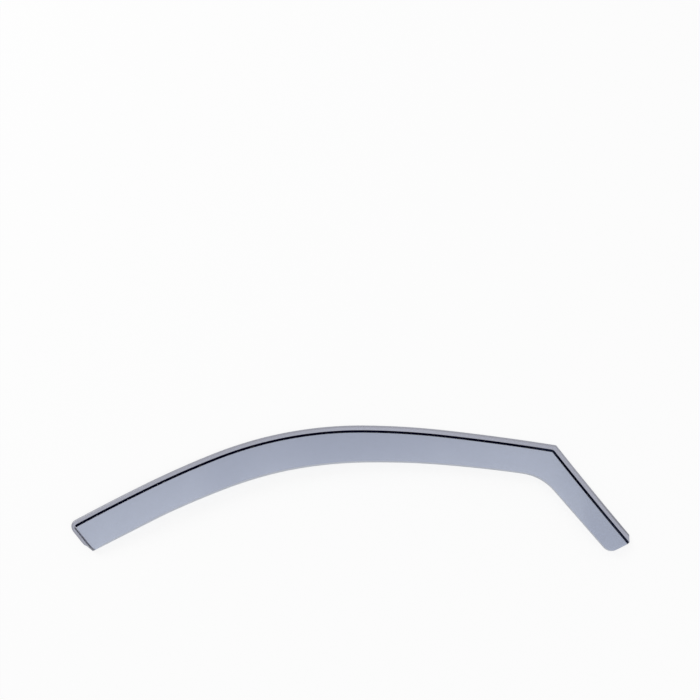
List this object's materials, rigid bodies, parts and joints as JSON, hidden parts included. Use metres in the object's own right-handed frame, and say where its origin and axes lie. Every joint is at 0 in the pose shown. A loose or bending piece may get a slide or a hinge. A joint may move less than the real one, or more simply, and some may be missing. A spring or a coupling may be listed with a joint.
{
  "type": "window rain deflector",
  "caption": "Smoked acrylic in-channel rain deflector for a front side door: an arched blade that leans out over the glass, with a thin flange along its top and pillar edges.",
  "frame": {"origin": "Centre of the footprint, on the surface that the deflector lies on.", "axes": "+X runs forward along the door to the windscreen pillar, +Y runs up the door to the roof, and +Z points outward from the glass, away from the car."},
  "size_m": [0.8408, 0.1892, 0.0199],
  "materials": {
    "smoked_acrylic": "clear, glossy, evenly smoked acrylic with polished faces and satin cut edges"
  },
  "bodies": {
    "root": {"visor": "smoked_acrylic"}
  },
  "joints": []
}
